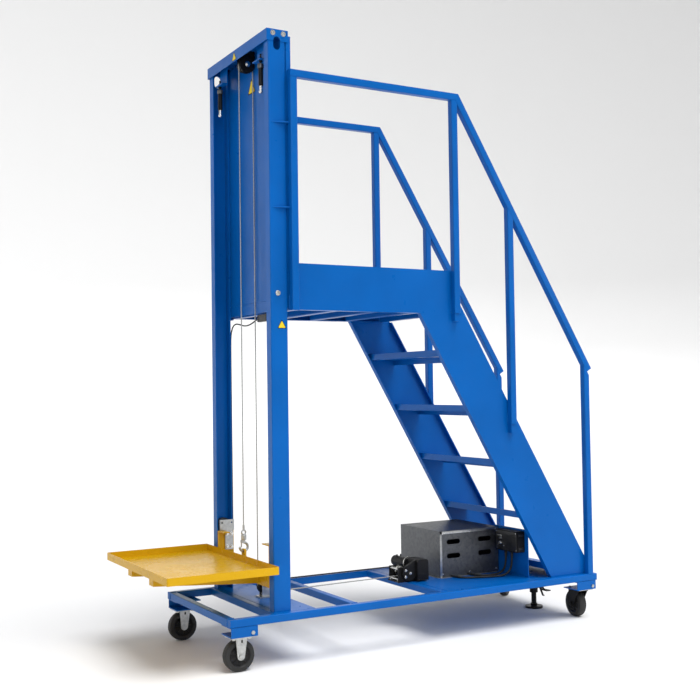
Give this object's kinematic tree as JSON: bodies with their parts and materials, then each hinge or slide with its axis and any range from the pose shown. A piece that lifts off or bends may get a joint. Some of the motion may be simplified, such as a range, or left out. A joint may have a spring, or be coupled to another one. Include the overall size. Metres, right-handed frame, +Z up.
{
  "type": "mobile stair platform with powered lift",
  "caption": "Wheeled steel work platform with a five-tread stair, handrails and a mast whose electric winch lifts a tray on fork arms.",
  "frame": {"origin": "middle of the bounding box on the floor, z = 0 under the wheels", "axes": "+X from the tray end to the foot of the stair, +Y from the near handrail to the far one, +Z up"},
  "size_m": [2.6249, 0.92, 3.105],
  "materials": {
    "frame_blue": "gloss",
    "carriage_yellow": "gloss",
    "zinc_steel": "satin",
    "black_steel": "satin",
    "bare_steel": "satin",
    "wire_rope": "satin",
    "black_rubber": "matte",
    "lock_shoe": "satin",
    "roller_nylon": "matte",
    "galvanised": "satin",
    "black_plastic": "matte"
  },
  "bodies": {
    "base": {"base_cross_tubes": "frame_blue", "base_plates": "frame_blue", "base_pulley_bracket": "zinc_steel", "base_rail_far": "frame_blue", "base_rail_near": "frame_blue", "battery": "black_plastic", "battery_box": "galvanised", "cable_bundle": "black_plastic", "caster_bolts": "zinc_steel", "caster_risers": "frame_blue", "control_box": "black_steel", "control_cable": "black_plastic", "control_panel": "frame_blue", "fixed_axles": "zinc_steel", "floor_lock_body": "black_steel", "handrail_far": "frame_blue", "handrail_near": "frame_blue", "hoist_rope_front": "wire_rope", "hoist_rope_run": "wire_rope", "mast_back_panel": "frame_blue", "mast_column_far": "frame_blue", "mast_column_near": "frame_blue", "mast_gussets": "frame_blue", "mast_header": "frame_blue", "platform_deck": "frame_blue", "platform_frame": "frame_blue", "post_sockets": "frame_blue", "rigid_forks": "zinc_steel", "sheave_block": "black_steel", "stair_treads": "frame_blue", "stop_bodies": "black_steel", "stringer_far": "frame_blue", "stringer_near": "frame_blue", "swivel_plates": "zinc_steel", "toe_boards": "frame_blue", "winch_frame": "black_steel", "winch_gear_cover": "black_steel", "winch_motor": "black_steel"},
    "carriage": {"carriage_frame": "carriage_yellow", "roller_plates": "zinc_steel", "fork_arms": "carriage_yellow", "load_tray": "carriage_yellow", "hoist_hook": "zinc_steel"},
    "upper_roller_set": {"upper_rollers": "roller_nylon"},
    "lower_roller_set": {"lower_rollers": "roller_nylon"},
    "latch": {"hook_latch": "zinc_steel"},
    "top_sheave_wheel": {"top_sheave": "black_steel"},
    "low_pulley_wheel": {"base_pulley": "black_steel"},
    "drum": {"winch_drum": "bare_steel"},
    "pinion": {"motor_pinion": "bare_steel"},
    "clutch": {"clutch_knob": "black_plastic"},
    "stop_pins": {"stop_plungers": "bare_steel"},
    "rigid_wheel_near": {"rigid_wheel_near": "black_rubber"},
    "rigid_wheel_far": {"rigid_wheel_far": "black_rubber"},
    "swivel_near": {"swivel_fork_near": "black_steel"},
    "swivel_far": {"swivel_fork_far": "black_steel"},
    "swivel_wheel_near": {"swivel_wheel_near": "black_rubber"},
    "swivel_wheel_far": {"swivel_wheel_far": "black_rubber"},
    "lock_shoe": {"floor_lock_shoe": "lock_shoe"},
    "lock_pedal": {"floor_lock_pedal": "black_steel"}
  },
  "joints": [
    {"name": "carriage_lift", "type": "slide", "parent": "base", "child": "carriage", "axis": [0, 0, 1], "range_m": [0, 2.24], "deforming": ["hoist_rope_front"]},
    {"name": "top_sheave_spin", "type": "hinge", "parent": "base", "child": "top_sheave_wheel", "pos_m": [-0.6745, 0, 3.031], "axis": [0, 1, 0], "range_deg": [0, 3292.48]},
    {"name": "low_pulley_spin", "type": "hinge", "parent": "base", "child": "low_pulley_wheel", "pos_m": [-0.5965, 0, 0.316], "axis": [0, 1, 0], "range_deg": [-3292.48, 0]},
    {"name": "drum_spin", "type": "hinge", "parent": "base", "child": "drum", "pos_m": [0.2495, 0, 0.306], "axis": [0, 1, 0], "range_deg": [-5836.67, 0]},
    {"name": "pinion_spin", "type": "hinge", "parent": "base", "child": "pinion", "pos_m": [0.30068, 0, 0.341], "axis": [0, 1, 0], "range_deg": [0, 8081.54]},
    {"name": "upper_roller_spin", "type": "hinge", "parent": "carriage", "child": "upper_roller_set", "pos_m": [-0.679, 0, 0.598], "axis": [0, 1, 0], "range_deg": [-3379.12, 0]},
    {"name": "lower_roller_spin", "type": "hinge", "parent": "carriage", "child": "lower_roller_set", "pos_m": [-0.679, 0, 0.405], "axis": [0, 1, 0], "range_deg": [0, 3379.12]},
    {"name": "hook_latch_hinge", "type": "hinge", "parent": "carriage", "child": "latch", "pos_m": [-0.7249, 0, 0.551], "axis": [0, 1, 0], "range_deg": [-19, 0], "stiffness_Nm_per_rad": 0.02, "springref_deg": 17.19},
    {"name": "clutch_turn", "type": "hinge", "parent": "base", "child": "clutch", "pos_m": [0.2495, 0, 0.306], "axis": [0, 1, 0], "range_deg": [0, 90]},
    {"name": "stop_plunger_slide", "type": "slide", "parent": "base", "child": "stop_pins", "axis": [0, 0, 1], "range_m": [0, 0.025], "stiffness_N_per_m": 2500, "springref_m": -0.006},
    {"name": "rigid_wheel_near_spin", "type": "hinge", "parent": "base", "child": "rigid_wheel_near", "pos_m": [-0.9105, -0.373, 0.0762], "axis": [0, 1, 0], "continuous": true},
    {"name": "rigid_wheel_far_spin", "type": "hinge", "parent": "base", "child": "rigid_wheel_far", "pos_m": [-0.9105, 0.373, 0.0762], "axis": [0, 1, 0], "continuous": true},
    {"name": "swivel_near_turn", "type": "hinge", "parent": "base", "child": "swivel_near", "pos_m": [1.2235, -0.362, 0.16], "axis": [0, 0, 1], "continuous": true},
    {"name": "swivel_far_turn", "type": "hinge", "parent": "base", "child": "swivel_far", "pos_m": [1.2235, 0.362, 0.16], "axis": [0, 0, 1], "continuous": true},
    {"name": "swivel_wheel_near_spin", "type": "hinge", "parent": "swivel_near", "child": "swivel_wheel_near", "pos_m": [1.22852, -0.31426, 0.0762], "axis": [-0.9945, 0.1045, 0], "continuous": true},
    {"name": "swivel_wheel_far_spin", "type": "hinge", "parent": "swivel_far", "child": "swivel_wheel_far", "pos_m": [1.26133, 0.39155, 0.0762], "axis": [-0.6157, 0.788, 0], "continuous": true},
    {"name": "floor_lock_pedal_hinge", "type": "hinge", "parent": "base", "child": "lock_pedal", "pos_m": [1.2155, 0, 0.128], "axis": [0, 1, 0], "range_deg": [-35, 0]},
    {"name": "floor_lock_slide", "type": "slide", "parent": "base", "child": "lock_shoe", "axis": [0, 0, 1], "range_m": [0, 0.0285]}
  ],
  "couplings": [
    {"joint": "top_sheave_spin", "follows": "carriage_lift", "rad_per_m": 25.641},
    {"joint": "low_pulley_spin", "follows": "carriage_lift", "rad_per_m": -25.641},
    {"joint": "drum_spin", "follows": "carriage_lift", "rad_per_m": -45.455},
    {"joint": "pinion_spin", "follows": "carriage_lift", "rad_per_m": 62.937},
    {"joint": "upper_roller_spin", "follows": "carriage_lift", "rad_per_m": -26.316},
    {"joint": "lower_roller_spin", "follows": "carriage_lift", "rad_per_m": 26.316},
    {"joint": "floor_lock_slide", "follows": "floor_lock_pedal_hinge", "m_per_rad": -0.045837}
  ]
}
